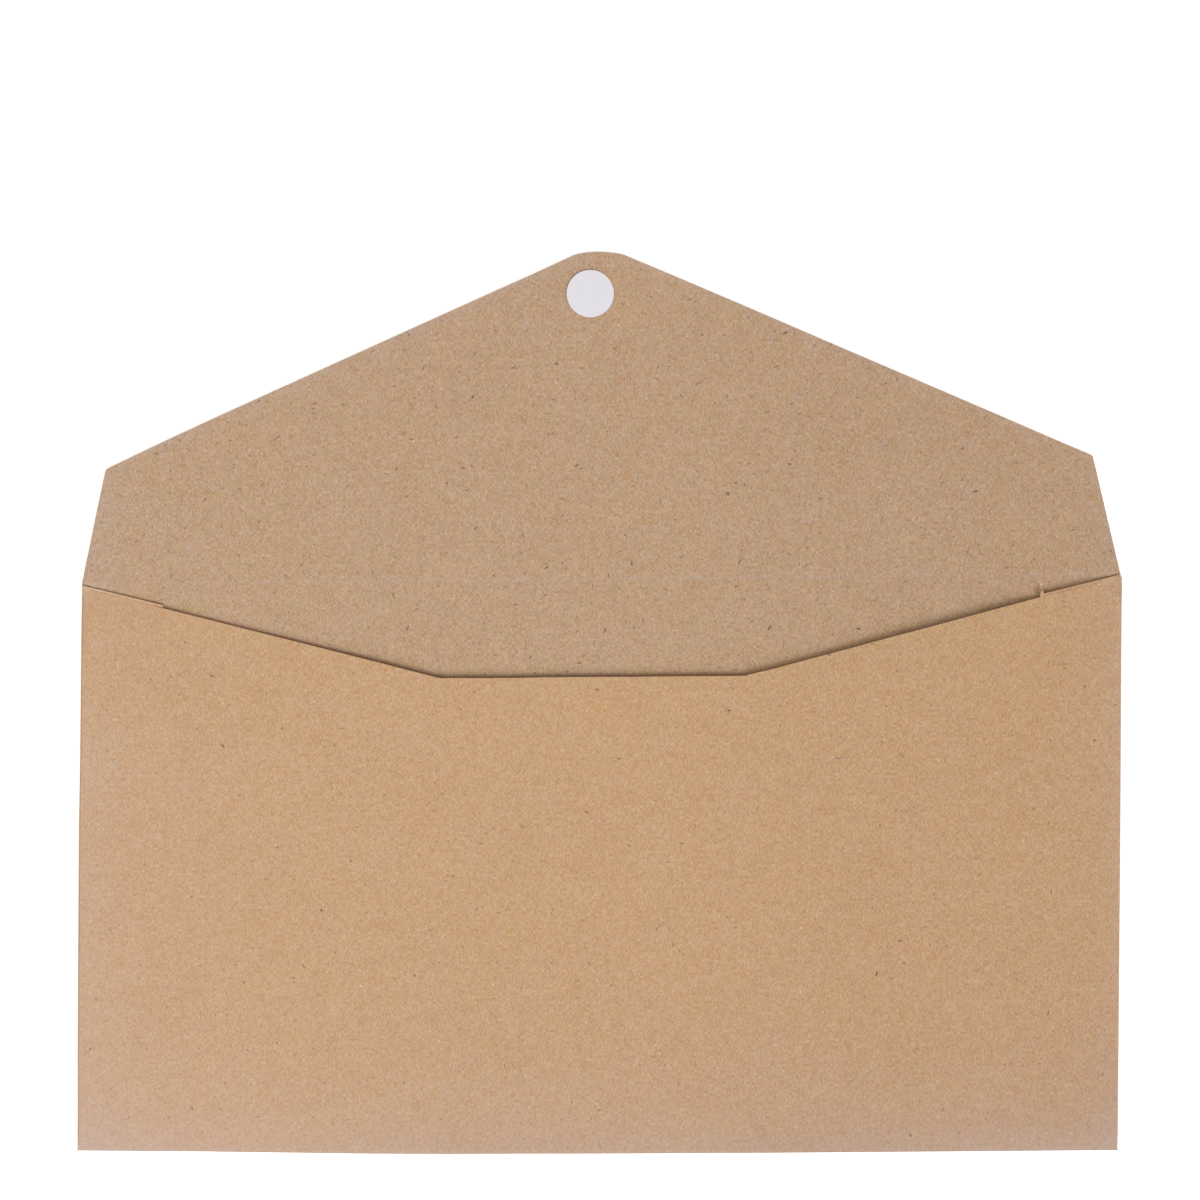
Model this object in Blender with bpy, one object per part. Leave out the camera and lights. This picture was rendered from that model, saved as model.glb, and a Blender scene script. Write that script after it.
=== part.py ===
"""A gift envelope of kraft card, lying on its address face with its flap open.

X runs along the width, Y from the bottom fold towards the flap, and Z up from the table.
The origin is the centre of the address face, which is the outside of the rear panel.
All sizes are in metres.
"""

import math

import bmesh
import bpy

# Pocket
WIDTH = 0.220  # between the outsides of the two side folds
POCKET_DEPTH = 0.121  # from the bottom fold to the flap's crease
BOARD = 0.0004  # thickness of the card, about 300 grams a square metre
FRONT_INSET = 0.0004  # from a side fold's outside to the front panel's cut edge

# Mouth, the cut top edge of the front panel
MOUTH_DROP = 0.0205  # from the crease down to the level stretch in the middle
MOUTH_SIDE_DROP = 0.0007  # from the crease down to the edge's two ends
MOUTH_LEVEL = 0.0648  # length of the level stretch
MOUTH_SHIFT = -0.0019  # of the level stretch's centre, off the middle of the envelope

# Side tabs, which fold in from the rear panel and carry the front panel
TAB_WIDTH = 0.017
TAB_PEEK = 0.00065  # how far a tab's inner end shows above the front panel's edge
TAB_FOOT_RISE = 0.0045  # how much higher the foot of a tab is at its inner end
TAB_FOOT_GAP = 0.0003  # from the bottom fold to the foot of a tab
TAB_AIR = 0.0001  # between the rear panel and a tab

# Glue between the side tabs and the front panel
GLUE_WIDTH = 0.006
GLUE_THICKNESS = 0.00006
GLUE_MARGIN = 0.005  # from the ends of the glue to the edges of the card

# Closing flap, measured from its crease
FLAP_HEIGHT = 0.0695
SHOULDER_HEIGHT = 0.025
SHOULDER_INSET = 0.0056
TIP_WIDTH = 0.0102  # across the blunt tip
TIP_RISE = 0.0005  # of the tip's arc above its two ends
CREASE_WIDTH = 0.0004
SCORE_DEPTH = 0.0001  # how far the crease is pressed into the inner face

# Adhesive dot and the paper that covers it, on the flap's inner face
DOT_DIAMETER = 0.010
DOT_FROM_TIP = 0.0092  # from the flap's tip down to the dot's centre
DOT_SHIFT = -0.0022  # of the dot's centre, off the middle of the flap
DOT_THICKNESS = 0.0001
LINER_THICKNESS = 0.00008

# Clearances
FACE_GAP = 0.00002  # between two faces that lie on each other
SEAM_GAP = 0.00002  # between a panel and the fold that continues it
CLOSED_SLACK = 0.00015  # between the front panel and the liner when the flap is closed

# Fineness of the round shapes
FOLD_STEPS = 12
TIP_STEPS = 12
DOT_STEPS = 64
SMOOTH_ANGLE = math.radians(30)

# Colours, as linear light
KRAFT_OUTSIDE = (0.57, 0.36, 0.20)
KRAFT_INSIDE = (0.49, 0.33, 0.21)
GLUE_AMBER = (0.62, 0.50, 0.33)
ADHESIVE_CLEAR = (0.80, 0.79, 0.74)
LINER_WHITE = (0.75, 0.75, 0.77)

# Places that follow from the sizes
HALF_WIDTH = WIDTH / 2
CREASE_Y = POCKET_DEPTH / 2
BOTTOM_Y = -POCKET_DEPTH / 2
TAB_LOW = BOARD + TAB_AIR
TAB_TOP = TAB_LOW + BOARD
GLUE_LOW = TAB_TOP + FACE_GAP
FRONT_LOW = GLUE_LOW + GLUE_THICKNESS + FACE_GAP
FRONT_TOP = FRONT_LOW + BOARD
SIDE_FOLD_RADIUS = TAB_TOP / 2
BOTTOM_FOLD_RADIUS = FRONT_TOP / 2
REAR_SIDE = HALF_WIDTH - SIDE_FOLD_RADIUS - SEAM_GAP
REAR_HEAD = CREASE_Y - CREASE_WIDTH / 2 - SEAM_GAP
PANEL_FOOT = BOTTOM_Y + BOTTOM_FOLD_RADIUS + SEAM_GAP
TAB_FOOT = PANEL_FOOT + TAB_FOOT_GAP
TAB_INNER = HALF_WIDTH - TAB_WIDTH
FLAP_ROOT = CREASE_WIDTH / 2 + SEAM_GAP
DOT_LOW = BOARD + FACE_GAP
LINER_LOW = DOT_LOW + DOT_THICKNESS + FACE_GAP
LINER_TOP = LINER_LOW + LINER_THICKNESS
HINGE_Z = (FRONT_TOP + CLOSED_SLACK + LINER_TOP) / 2


def clear_scene():
    for thing in list(bpy.data.objects):
        bpy.data.objects.remove(thing)


def finish(piece, colour, roughness):
    """Gives the piece a material of its own."""
    material = bpy.data.materials.new(piece.name + "_finish")
    material.use_nodes = True
    shader = material.node_tree.nodes["Principled BSDF"]
    shader.inputs["Base Color"].default_value = (*colour, 1.0)
    shader.inputs["Roughness"].default_value = roughness
    shader.inputs["Metallic"].default_value = 0.0
    piece.data.materials.append(material)


def finish_kraft_outside(piece):
    finish(piece, KRAFT_OUTSIDE, 0.85)


def finish_kraft_inside(piece):
    finish(piece, KRAFT_INSIDE, 0.9)


def finish_glue(piece):
    finish(piece, GLUE_AMBER, 0.4)


def finish_adhesive(piece):
    finish(piece, ADHESIVE_CLEAR, 0.3)


def finish_liner(piece):
    finish(piece, LINER_WHITE, 0.45)


def add_piece(name, shape, place=(0, 0, 0), parent=None):
    """Turns a bmesh into an object, placed in the world or from its parent."""
    bmesh.ops.recalc_face_normals(shape, faces=shape.faces)
    mesh = bpy.data.meshes.new(name)
    shape.to_mesh(mesh)
    shape.free()
    mesh.shade_smooth()
    mesh.set_sharp_from_angle(angle=SMOOTH_ANGLE)
    piece = bpy.data.objects.new(name, mesh)
    piece.location = place
    piece.parent = parent
    bpy.context.scene.collection.objects.link(piece)
    return piece


def add_hinge(name, place):
    """An empty that marks a joint and carries what moves with it."""
    hinge = bpy.data.objects.new(name, None)
    hinge.location = place
    bpy.context.scene.collection.objects.link(hinge)
    return hinge


def card_shape(outline, thickness):
    """A flat sheet with this outline, from height 0 up."""
    shape = bmesh.new()
    face = shape.faces.new([shape.verts.new((x, y, 0)) for x, y in outline])
    raised = bmesh.ops.extrude_face_region(shape, geom=[face])["geom"]
    corners = [item for item in raised if isinstance(item, bmesh.types.BMVert)]
    bmesh.ops.translate(shape, vec=(0, 0, thickness), verts=corners)
    return shape


def fold_shape(end_face, axis_point, axis):
    """The sheet's edge face turned half round an axis, as the card bends in a fold."""
    shape = bmesh.new()
    face = shape.faces.new([shape.verts.new(corner) for corner in end_face])
    bmesh.ops.spin(
        shape,
        geom=[face],
        cent=axis_point,
        axis=axis,
        angle=math.pi,
        steps=FOLD_STEPS,
        use_duplicate=False,
    )
    return shape


def disc_shape(diameter, thickness):
    """A round label, from height 0 up."""
    shape = bmesh.new()
    bmesh.ops.create_cone(
        shape,
        cap_ends=True,
        segments=DOT_STEPS,
        radius1=diameter / 2,
        radius2=diameter / 2,
        depth=thickness,
    )
    bmesh.ops.translate(shape, vec=(0, 0, thickness / 2), verts=shape.verts)
    return shape


def rectangle(low_x, high_x, low_y, high_y):
    return [(low_x, low_y), (high_x, low_y), (high_x, high_y), (low_x, high_y)]


def mouth_end(side):
    """Where the mouth's level stretch ends on this side."""
    return MOUTH_SHIFT + side * MOUTH_LEVEL / 2


def mouth_height(side, x):
    """Height of the front panel's sloping edge at x, on this side of the level stretch."""
    share = (x - mouth_end(side)) / (side * HALF_WIDTH - mouth_end(side))
    return CREASE_Y - MOUTH_DROP + share * (MOUTH_DROP - MOUTH_SIDE_DROP)


def build_rear_panel():
    outline = rectangle(-REAR_SIDE, REAR_SIDE, PANEL_FOOT, REAR_HEAD)
    finish_kraft_outside(add_piece("rear_panel", card_shape(outline, BOARD)))


def build_side_tab(name, side):
    """The tab that is folded in from the rear panel's side; side is 1 at +X and -1 at -X."""
    inner = side * TAB_INNER
    outer = side * REAR_SIDE
    outline = [
        (outer, TAB_FOOT),
        (outer, REAR_HEAD),
        (inner, mouth_height(side, inner) + TAB_PEEK),
        (inner, TAB_FOOT + TAB_FOOT_RISE),
    ]
    tab = add_piece(name, card_shape(outline, BOARD), (0, 0, TAB_LOW))
    finish_kraft_outside(tab)


def build_side_fold(name, side):
    """The bend that joins the rear panel's side to its tab."""
    start = side * (HALF_WIDTH - SIDE_FOLD_RADIUS)
    end_face = [
        (start, TAB_FOOT, 0),
        (start, REAR_HEAD, 0),
        (start, REAR_HEAD, BOARD),
        (start, TAB_FOOT, BOARD),
    ]
    shape = fold_shape(end_face, (start, 0, SIDE_FOLD_RADIUS), (0, -side, 0))
    finish_kraft_outside(add_piece(name, shape))


def build_glue_line(name, side):
    """The line of glue between a side tab and the front panel."""
    middle = side * (REAR_SIDE + TAB_INNER) / 2
    inner_end = mouth_height(side, side * TAB_INNER) - GLUE_MARGIN
    foot = TAB_FOOT + TAB_FOOT_RISE + GLUE_MARGIN
    outline = rectangle(middle - GLUE_WIDTH / 2, middle + GLUE_WIDTH / 2, foot, inner_end)
    line = add_piece(name, card_shape(outline, GLUE_THICKNESS), (0, 0, GLUE_LOW))
    finish_glue(line)


def build_front_panel():
    """The panel folded up from the bottom, with the mouth cut into its top edge."""
    side = HALF_WIDTH - FRONT_INSET
    outline = [
        (-side, PANEL_FOOT),
        (side, PANEL_FOOT),
        (side, mouth_height(1, side)),
        (mouth_end(1), CREASE_Y - MOUTH_DROP),
        (mouth_end(-1), CREASE_Y - MOUTH_DROP),
        (-side, mouth_height(-1, -side)),
    ]
    front = add_piece("front_panel", card_shape(outline, BOARD), (0, 0, FRONT_LOW))
    finish_kraft_outside(front)


def build_bottom_fold():
    """The bend that joins the rear panel's foot to the front panel's."""
    side = HALF_WIDTH - FRONT_INSET
    start = BOTTOM_Y + BOTTOM_FOLD_RADIUS
    end_face = [(-side, start, 0), (side, start, 0), (side, start, BOARD), (-side, start, BOARD)]
    shape = fold_shape(end_face, (0, start, BOTTOM_FOLD_RADIUS), (-1, 0, 0))
    finish_kraft_outside(add_piece("bottom_fold", shape))


def flap_side(height):
    """Half the flap's width at this height above the crease, below its shoulders."""
    return HALF_WIDTH - SHOULDER_INSET * height / SHOULDER_HEIGHT


def tip_arc():
    """The blunt tip's arc, from its right end to its left end."""
    radius = ((TIP_WIDTH / 2) ** 2 + TIP_RISE**2) / (2 * TIP_RISE)
    reach = math.asin(TIP_WIDTH / 2 / radius)
    points = []
    for step in range(TIP_STEPS + 1):
        angle = reach * (1 - 2 * step / TIP_STEPS)
        points.append((radius * math.sin(angle), FLAP_HEIGHT - radius * (1 - math.cos(angle))))
    return points


def build_flap_crease():
    """The scored strip along which the flap bends."""
    half = flap_side(CREASE_WIDTH / 2)
    top, foot = CREASE_Y + CREASE_WIDTH / 2, CREASE_Y - CREASE_WIDTH / 2
    shape = card_shape(rectangle(-half, half, foot, top), BOARD - SCORE_DEPTH)
    finish_kraft_inside(add_piece("flap_crease", shape))


def build_flap(hinge):
    """The closing flap, in the hinge's own frame: Y from the crease, Z from the hinge axis."""
    shoulder = (flap_side(SHOULDER_HEIGHT), SHOULDER_HEIGHT)
    root = (flap_side(FLAP_ROOT), FLAP_ROOT)
    right_side = [root, shoulder]
    left_side = [(-x, y) for x, y in reversed(right_side)]
    outline = right_side + tip_arc() + left_side
    flap = add_piece("closing_flap", card_shape(outline, BOARD), (0, 0, -HINGE_Z), hinge)
    finish_kraft_inside(flap)


def build_dot(hinge):
    """The adhesive dot and its release liner, on the flap's inner face near the tip."""
    place = (DOT_SHIFT, FLAP_HEIGHT - DOT_FROM_TIP)
    dot_shape = disc_shape(DOT_DIAMETER, DOT_THICKNESS)
    dot = add_piece("adhesive_dot", dot_shape, (*place, DOT_LOW - HINGE_Z), hinge)
    finish_adhesive(dot)
    liner_shape = disc_shape(DOT_DIAMETER, LINER_THICKNESS)
    liner = add_piece("dot_liner", liner_shape, (*place, LINER_LOW - HINGE_Z), hinge)
    finish_liner(liner)


def main():
    clear_scene()
    build_rear_panel()
    for word, side in (("left", -1), ("right", 1)):
        build_side_tab("side_tab_" + word, side)
        build_side_fold("side_fold_" + word, side)
        build_glue_line("glue_line_" + word, side)
    build_front_panel()
    build_bottom_fold()
    build_flap_crease()
    hinge = add_hinge("flap_hinge", (0, CREASE_Y, HINGE_Z))
    build_flap(hinge)
    build_dot(hinge)


main()
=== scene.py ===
"""The looks of a kraft card gift envelope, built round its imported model.

The envelope lies on the table with its flap open, and each sheet here is the card as it was cut,
mapped through its folds. Sizes are in metres, and +Z is up.
"""

import functools
import math

import bmesh
import bpy
from mathutils import Matrix, Vector


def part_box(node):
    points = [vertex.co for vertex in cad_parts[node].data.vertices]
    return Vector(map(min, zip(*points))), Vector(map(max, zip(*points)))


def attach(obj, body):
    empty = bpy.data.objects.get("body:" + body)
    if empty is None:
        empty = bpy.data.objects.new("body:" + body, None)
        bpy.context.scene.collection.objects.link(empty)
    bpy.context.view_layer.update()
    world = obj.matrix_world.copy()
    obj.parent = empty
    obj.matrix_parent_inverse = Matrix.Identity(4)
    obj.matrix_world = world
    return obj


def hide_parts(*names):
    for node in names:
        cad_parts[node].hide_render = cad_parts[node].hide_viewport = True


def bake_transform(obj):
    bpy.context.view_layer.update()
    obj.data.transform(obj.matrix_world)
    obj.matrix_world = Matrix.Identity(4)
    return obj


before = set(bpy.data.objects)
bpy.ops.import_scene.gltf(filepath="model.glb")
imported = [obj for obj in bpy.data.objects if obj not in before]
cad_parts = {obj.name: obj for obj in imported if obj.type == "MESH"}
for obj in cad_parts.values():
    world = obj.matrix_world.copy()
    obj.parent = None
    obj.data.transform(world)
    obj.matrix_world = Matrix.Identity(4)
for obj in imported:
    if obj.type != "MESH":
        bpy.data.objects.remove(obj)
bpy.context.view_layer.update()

MM = 0.001

# Camera, as the photograph was taken
CAMERA_LENS = 85.0  # in millimetres, like the sensor's width
CAMERA_SENSOR = 36.0
CAMERA_PLACE = Vector((-0.0002, 0.0553, 0.5998))
CAMERA_TILT = math.radians(0.08)
CAMERA_ROLL = math.radians(-0.553)
CAMERA_CLIP = 0.01

# Light
KEY_AZIMUTH = math.radians(45)  # from -Y towards +X
KEY_HEIGHT = math.radians(33)
KEY_SPREAD = math.radians(37)
KEY_STRENGTH = 2.57
KEY_COLOUR = (0.93, 0.993, 1.11)
WORLD_STRENGTH = 0.407
WORLD_COLOUR = (1.12, 0.97, 0.88)
FILL_PLACE = Vector((-0.583, -0.378, 0.719))
FILL_SIZE = 0.73
FILL_POWER = 4.15
FILL_COLOUR = (0.94, 1.05, 1.0)

# Stage
FLOOR_HALF = 8.0
FLOOR_HEIGHT = -0.0001
FLOOR_GLOW = 0.45
BACKDROP_RADIUS = 7.6
BACKDROP_HEIGHT = 3.2
BACKDROP_SIDES = 96
BACKDROP_GLOW = 1.0
STAGE_WHITE = 0.9
STAGE_ROUGHNESS = 0.9
STAGE_SPECULAR = 0.1

# The card's sheets
CELL = 2.0 * MM  # between the columns and rows of a sheet
RIM = 0.05 * MM  # how far the cut edges are rounded off
SEAM_SETBACK = 0.5 * MM  # from a fold's start to the edge of the rear sheet
FOLD_STEPS = 20
CREASE_HALF = 0.5 * MM
CREASE_STEPS = 24
SCORE_DEPTH = 0.012 * MM
SCORE_HALF = 0.4 * MM
HEAD_OVERLAP = 0.06 * MM  # of a side fold's head over the crease's end
SHOULDER_SOFT = 0.25 * MM
TIP_START = 6.0 * MM  # how far below the tip its rows begin to arch
SMOOTH_ANGLE = math.radians(30)  # the steepest corner that is shaded smooth

# How the real card departs from straight and square, all in millimetres
SWAY_LEFT = [  # sideways, at these heights of the card's left side
    (-60.5, -1.82), (-50, -1.66), (-41, -1.61), (-16, -1.25), (9.5, -0.85), (22, -0.51), (35, -0.26),
    (52, 0.06), (58, 0.22), (61.3, 0.29), (64.5, 0.20), (69, 0.17), (73, 0.11), (85.5, 0.02),
    (105, 0.17), (130, 0.45),
]
SWAY_RIGHT = [
    (-60.5, -1.93), (-57, -1.78), (-50, -1.66), (-41, -1.49), (-16, -1.02), (9.5, -0.56), (35, -0.17),
    (52, 0.12), (58, 0.28), (59.4, 0.3), (60.5, 0.13), (61.0, -0.08), (64, -0.07), (70, -0.05),
    (85.5, 0.0), (105, 0.17), (130, 0.45),
]
FOOT_RISE_LEFT = 1.32
FOOT_RISE_RIGHT = -0.72
FOOT_BOW = [  # downwards, at these places across the foot
    (-110, 0.0), (-84, 0.20), (-67, 0.44), (-50, 0.67), (-33, 0.79), (-16, 0.72), (0, 0.70), (17, 0.63),
    (34, 0.56), (68, 0.31), (98, 0.07), (110, 0.0),
]
FOOT_BOW_FADE = 25.0
FLAP_SAG = {  # how much lower the flap's slanting edges lie, at these heights
    -1: [(85.5, 0.60), (90, 0.35), (96, 0.20), (121, 0.20), (125, 0.25), (130, 0.16)],
    1: [
        (85.5, -0.20), (88.5, -0.09), (94.4, -0.11), (102, -0.05), (111, 0.05), (116, 0.05), (124, 0.18),
        (130, 0.39),
    ],
}
TIP_SAG = 0.31
TIP_ARCH = 0.61
TIP_PEAK = -0.17  # the arch's peak, from -1 at its left corner to 1 at its right
MOUTH_TRIM = [(0.0, 0.0), (0.38, -0.11), (-0.21, -0.165), (0.0, 0.10)]  # of its corners, from left to right
MOUTH_WAVE = [  # upwards, at these places across the mouth
    (-46, 0.0), (-36, -0.055), (-33.5, -0.02), (-30, -0.01), (-24, -0.07), (-17, -0.065), (-12, 0.02),
    (0, 0.03), (3, 0.01), (6, -0.03), (12, 0.02), (28, 0.02), (30.5, 0.05), (33.5, 0.01), (35.5, -0.08),
    (44, 0.015), (52.4, 0.05), (60.9, 0.165), (69.3, 0.18), (77.8, 0.265), (86.2, 0.34), (92.5, 0.36),
    (102, 0.22), (110, 0.03),
]
MOUTH_LEVEL = [  # height of the front's outer face at the mouth, at these places across
    (-110, 0.87), (-101, 0.87), (-95, 0.94), (-92, 1.12), (-82, 1.07), (-63, 1.27), (-44, 1.53),
    (-30, 1.43), (0, 1.44), (30, 1.47), (42, 1.46), (60, 1.52), (80, 1.62), (87, 1.60), (92, 1.26),
    (101.5, 1.23), (103.5, 1.15), (106, 0.98), (108, 0.86), (110, 0.86),
]
HEAD_TRIM = {-1: (-0.05, -0.09), 1: (0.22, 0.36)}  # of each tab's head, at its fold and inner end
TAB_TRIM = {-1: 0.3, 1: 0.0}  # how much further in a tab reaches
TAB_CURL = {  # upwards, of the strip of a tab that shows in the mouth, at these distances in from the fold
    -1: [(0, 0.0), (9, 0.01), (17, 0.10)],
    1: [(0, 0.0), (1.5, 0.01), (3.5, 0.14), (6, 0.31), (8, 0.38), (17, 0.38)],
}
HEAD_DIP = {-1: 0.15, 1: 0.42}  # how much lower a side fold's head is at the card's outermost line
CORNER_RISE = 1.0  # above the foot, where the front draws in to its own width
CORNER_LIFT = {  # of the rear panel and the flap's root above each tab's head, at these places across
    -1: [(95, 0.0), (99, 0.0), (102, 0.03), (104.5, 0.11), (106, 0.26), (108, 0.36), (110, 0.40)],
    1: [(95, 0.0), (101, 0.0), (104, 0.06), (106, 0.17), (108, 0.31), (110, 0.40)],
}
CORNER_LIFT_RUN = 0.6  # from the tab's head up to that height
CORNER_LIFT_REACH = 30.0

# Where the front's painted reflection and painted shade change: the start of each change, and its run
PAST_LEFT = (-75 * MM, 55 * MM)
RIGHT_END = (40 * MM, 50 * MM)
RIGHT_HALF = (0.0, 60 * MM)
UPPER_LEFT = (18 * MM, 32 * MM)  # upwards

# Texture layers keep the two faces of the card apart by this much
FACE_OFFSET = 500 * MM

CORNER_DIGITS = 7  # to which a panel's corners are rounded, in metres


def outline_of(node):
    """The corners of a flat CAD panel, each once, from left to right."""
    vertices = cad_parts[node].data.vertices
    return sorted({(round(v.co.x, CORNER_DIGITS), round(v.co.y, CORNER_DIGITS)) for v in vertices})


rear_low, rear_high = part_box("rear_panel")
_, front_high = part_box("front_panel")
bend_low, bend_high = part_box("bottom_fold")
side_low, side_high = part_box("side_fold_right")
liner_low, liner_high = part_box("dot_liner")
film_low, film_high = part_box("adhesive_dot")
crease_low, crease_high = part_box("flap_crease")

BOARD = rear_high.z - rear_low.z
HALF_WIDTH = side_high.x
CREASE_Y = (crease_low.y + crease_high.y) / 2
BEND_RADIUS = bend_high.z / 2
BEND_Y = bend_high.y
BEND_LENGTH = math.pi * (BEND_RADIUS - BOARD / 2)
SIDE_RADIUS = side_high.z / 2
SIDE_X = side_low.x
SIDE_LENGTH = math.pi * (SIDE_RADIUS - BOARD / 2)
POCKET_DEPTH = CREASE_Y - bend_low.y
FRONT_SIDE = front_high.x

mouth = [corner for corner in outline_of("front_panel") if corner[1] > 0]
MOUTH = [(x + dx * MM, y + dy * MM) for (x, y), (dx, dy) in zip(mouth, MOUTH_TRIM)]


@functools.cache
def tab_corners(side):
    """Foot and head of a tab at its fold, then at its inner end, as (x, y)."""
    corners = outline_of("side_tab_left" if side < 0 else "side_tab_right")
    corners.sort(key=lambda corner: (-abs(corner[0]), corner[1]))
    foot_out, head_out, foot_in, head_in = corners
    at_fold, at_end = HEAD_TRIM[side]
    further = side * TAB_TRIM[side] * MM
    return (
        foot_out,
        (head_out[0], head_out[1] + at_fold * MM),
        (foot_in[0] - further, foot_in[1]),
        (head_in[0] - further, head_in[1] + at_end * MM),
    )


def slide(points, x):
    """The height at x of a line through these points, in rising x, which runs on straight past its ends."""
    (x0, y0), (x1, y1) = points[0], points[1]
    for first, second in zip(points, points[1:]):
        if x >= first[0]:
            (x0, y0), (x1, y1) = first, second
    return y0 + (y1 - y0) * (x - x0) / (x1 - x0)


def ease(share):
    """Rises smoothly from 0 to 1 as share does."""
    share = min(1.0, max(0.0, share))
    return share * share * (3 - 2 * share)


def ramp(place, start, run):
    """0 up to start, rising smoothly to 1 over the run."""
    return ease((place - start) / run)


def eased(points, x):
    """As slide, with a smooth run from each point to the next and level ends."""
    if x <= points[0][0]:
        return points[0][1]
    for (x0, y0), (x1, y1) in zip(points, points[1:]):
        if x <= x1:
            return y0 + (y1 - y0) * ease((x - x0) / (x1 - x0))
    return points[-1][1]


def spread(low, high, step=CELL):
    """Even places from low to high, about one step apart."""
    count = max(1, round((high - low) / step))
    return [low + (high - low) * k / count for k in range(count + 1)]


def with_places(places, extra, room):
    """Adds extra places to a list, dropping those of the list that are within this room of them."""
    kept = [p for p in places if all(abs(p - e) > room for e in extra)]
    return sorted(kept + list(extra))


def settle(x, y):
    """Where a point of the flat envelope lies once the card's small sway and bow are in."""
    right = (x / HALF_WIDTH + 1) / 2
    sway = slide(SWAY_LEFT, y / MM) * (1 - right) + slide(SWAY_RIGHT, y / MM) * right
    if y > CREASE_Y:
        return x + sway * MM, y
    down = (CREASE_Y - y) / POCKET_DEPTH
    rise = FOOT_RISE_LEFT * (1 - right) + FOOT_RISE_RIGHT * right
    bow = slide(FOOT_BOW, x / MM) * ease(1 - (y - bend_low.y) / (FOOT_BOW_FADE * MM))
    return x + sway * MM, y + (rise * down - bow) * MM


# Sheets

RIGHT_PAINTED_SHADE = 0.028
RIGHT_PAINTED_SHADE_PLACE = (5 * MM, 60 * MM)  # where it starts and its run


def painted_falloff(u, v):
    """Painted shade: how much darker the card is painted towards its right-hand side, where the light falls
    off.
    """
    return RIGHT_PAINTED_SHADE * ramp(u, *RIGHT_PAINTED_SHADE_PLACE)


def grid_rim(last_c, last_r):
    """Column and row of each point round a grid's edge, in order."""
    loop = [(c, 0) for c in range(last_c)]
    loop += [(last_c, r) for r in range(last_r)]
    loop += [(c, last_r) for c in range(last_c, 0, -1)]
    loop += [(0, r) for r in range(last_r, 0, -1)]
    return loop


def join_rings(shape, first, second, kind=0):
    """A band of faces between two closed rings of as many points, with this material's number."""
    for k in range(len(first)):
        after = (k + 1) % len(first)
        face = shape.faces.new((first[k], first[after], second[after], second[k]))
        face.material_index = kind


def card_sheet(name, columns, rows, flat, solid, fade, dull=painted_falloff):
    """A sheet of card on a grid of columns and rows, closed all round.

    flat(column, row, inset) gives a point of the card as it was cut, drawn in from the cut edges,
    solid(u, v, depth) its place once it is folded, where depth 0 is the outside face,
    fade(u, v) how much paler and cooler the colour is there, in part painted reflection, and the last
    function how much darker the colour is painted there, as painted shade.
    Its outside has material 0, its inside 1 and its cut edges 2.
    """
    shape = bmesh.new()
    place_layer = shape.verts.layers.float_vector.new("card_place")
    paling_and_sheen_layer = shape.verts.layers.float.new("rub")
    painted_shading_layer = shape.verts.layers.float.new("dull")

    def corner(column, row, inset, depth):
        u, v = flat(column, row, inset)
        made = shape.verts.new(solid(u, v, depth))
        made[place_layer] = ((u + FACE_OFFSET * depth / BOARD) / MM, v / MM, 0.0)
        made[paling_and_sheen_layer] = fade(u, v)
        made[painted_shading_layer] = dull(u, v)
        return made

    outer = [[corner(c, r, RIM, 0.0) for c in columns] for r in rows]
    inner = [[corner(c, r, RIM, BOARD) for c in columns] for r in rows]
    last_c, last_r = len(columns) - 1, len(rows) - 1
    loop = grid_rim(last_c, last_r)
    low_ring = [corner(columns[c], rows[r], 0.0, RIM) for c, r in loop]
    high_ring = [corner(columns[c], rows[r], 0.0, BOARD - RIM) for c, r in loop]
    for r in range(last_r):
        for c in range(last_c):
            for layer, kind in ((outer, 0), (inner, 1)):
                square = (layer[r][c], layer[r][c + 1], layer[r + 1][c + 1], layer[r + 1][c])
                shape.faces.new(square).material_index = kind
    outer_ring = [outer[r][c] for c, r in loop]
    inner_ring = [inner[r][c] for c, r in loop]
    join_rings(shape, outer_ring, low_ring, kind=2)
    join_rings(shape, low_ring, high_ring, kind=2)
    join_rings(shape, high_ring, inner_ring, kind=2)
    bmesh.ops.recalc_face_normals(shape, faces=shape.faces)
    return finish_mesh(name, shape)


def finish_mesh(name, shape, sharp=SMOOTH_ANGLE):
    """Turns a bmesh into an object, shaded smooth with its true corners kept."""
    mesh = bpy.data.meshes.new(name)
    shape.to_mesh(mesh)
    shape.free()
    mesh.shade_smooth()
    mesh.set_sharp_from_angle(angle=sharp)
    made = bpy.data.objects.new(name, mesh)
    bpy.context.scene.collection.objects.link(made)
    return made


def dress(piece, *materials):
    for material in materials:
        piece.data.materials.append(material)


# Rear sheet, crease and flap

SEAM_X = SIDE_X - SEAM_SETBACK
SEAM_Y = BEND_Y + SEAM_SETBACK
CREASE_LOW = CREASE_Y - CREASE_HALF
CREASE_HIGH = CREASE_Y + CREASE_HALF
STRIP_FROM = {side: tab_corners(side)[1][1] - HEAD_OVERLAP for side in (-1, 1)}
STRIP_WIDENS = 0.01 * MM  # above a side fold's head, over which the strip takes its full width
STRIP_ROOM = 0.008 * MM
HEAD_REACH = 2.4 * MM  # below the crease, where the rear sheet's rows lie close together
HEAD_STEP = 0.12 * MM
SHOULDER_ROWS = [k * 0.2 * MM for k in range(-5, 5)]  # from the shoulder's own height
SHOULDER_ROOM = 0.3 * MM

# Paler, cooler colour along the flap's sides, as its strength at the edge and the reach in which it fades
FLAP_PALING = (0.34, 3.0 * MM)
FLAP_PALING_LEFT = (0.08, 25 * MM)  # more of it on the left
FLAP_RIGHT_SHARE = 0.7  # of that paling, on the right
CREASE_PALING = 0.24
CREASE_PALING_HALF = 0.33 * MM  # how far to each side of the crease's line it goes

flap_outline = [corner for corner in outline_of("closing_flap") if corner[0] >= 0]
flap_outline.sort(key=lambda corner: corner[1])
FLAP_ROOT, SHOULDER, TIP_CORNER = flap_outline[0], flap_outline[1], flap_outline[2]


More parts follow.
